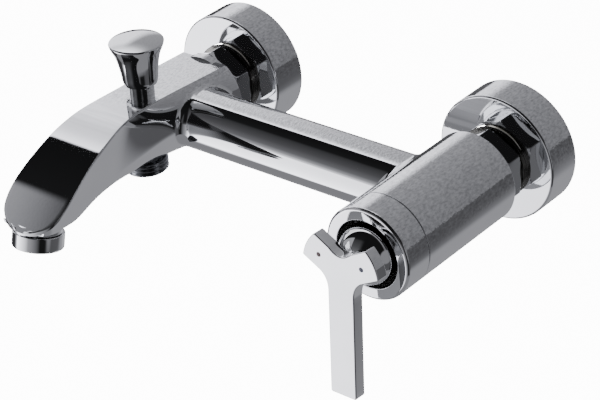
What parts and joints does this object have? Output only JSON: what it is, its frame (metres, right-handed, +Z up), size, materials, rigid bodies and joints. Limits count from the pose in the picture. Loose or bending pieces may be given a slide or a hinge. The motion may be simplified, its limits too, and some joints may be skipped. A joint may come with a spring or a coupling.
{
  "type": "wall mounted bath faucet",
  "caption": "Wall mounted bath and shower mixer with a single forked lever, a pull-up diverter knob, a short curved spout and a threaded shower outlet underneath.",
  "frame": {"origin": "on the wall's finished surface, midway between the two inlets and level with the axes of the two bodies", "axes": "+X along the wall from the spout body to the lever body, +Y into the wall, +Z up"},
  "size_m": [0.208, 0.1686, 0.1028],
  "materials": {
    "chrome_body": "polished",
    "chrome_trim": "polished",
    "brass": "machined",
    "steel": "machined",
    "seal_rubber": "matte",
    "ceramic": "lapped",
    "cartridge_plastic": "moulded",
    "aerator_plastic": "moulded",
    "hot_red": "enamel",
    "cold_blue": "enamel"
  },
  "bodies": {
    "base": {"mixer_body": "chrome_body", "left_eccentric_union": "brass", "left_escutcheon": "chrome_trim", "left_union_nut": "chrome_trim", "left_inlet_tail": "brass", "left_inlet_washer": "seal_rubber", "right_eccentric_union": "brass", "right_escutcheon": "chrome_trim", "right_union_nut": "chrome_trim", "right_inlet_tail": "brass", "right_inlet_washer": "seal_rubber", "hot_port_seal": "seal_rubber", "cold_port_seal": "seal_rubber", "mixed_port_seal": "seal_rubber", "cartridge_base": "cartridge_plastic", "fixed_ceramic_disc": "ceramic", "cartridge_housing": "cartridge_plastic", "cartridge_retaining_nut": "brass", "cartridge_cap": "chrome_trim", "diverter_bonnet": "chrome_trim", "diverter_sleeve": "brass", "shower_outlet_nipple": "brass", "aerator_housing": "chrome_trim", "aerator_insert": "aerator_plastic", "aerator_seal": "seal_rubber"},
    "rotor": {"rotary_guide": "cartridge_plastic", "lever_pivot_pin": "steel"},
    "disc": {"disc_carrier": "cartridge_plastic", "moving_ceramic_disc": "ceramic"},
    "lever": {"lever_stem": "steel", "handle_dome": "chrome_trim", "handle_set_screw": "steel", "lever_plate": "chrome_trim", "hot_indicator": "hot_red", "cold_indicator": "cold_blue"},
    "diverter": {"diverter_knob": "chrome_trim", "diverter_stem": "steel", "diverter_seal": "seal_rubber", "diverter_spring": "steel"}
  },
  "joints": [
    {"name": "temperature_turn", "type": "hinge", "parent": "base", "child": "rotor", "pos_m": [0.075, -0.1015, 0], "axis": [0, -1, 0], "range_deg": [-45, 45]},
    {"name": "flow_lift", "type": "hinge", "parent": "rotor", "child": "lever", "pos_m": [0.075, -0.1015, 0], "axis": [-1, 0, 0], "range_deg": [0, 22]},
    {"name": "disc_slide", "type": "slide", "parent": "rotor", "child": "disc", "axis": [0, 0, -1], "range_m": [0, 0.0053]},
    {"name": "diverter_lift", "type": "slide", "parent": "base", "child": "diverter", "axis": [0, 0, 1], "range_m": [0, 0.006], "stiffness_N_per_m": 250, "springref_m": -0.004, "deforming": ["diverter_spring"]}
  ],
  "couplings": [
    {"joint": "disc_slide", "follows": "flow_lift", "m_per_rad": 0.0135}
  ]
}
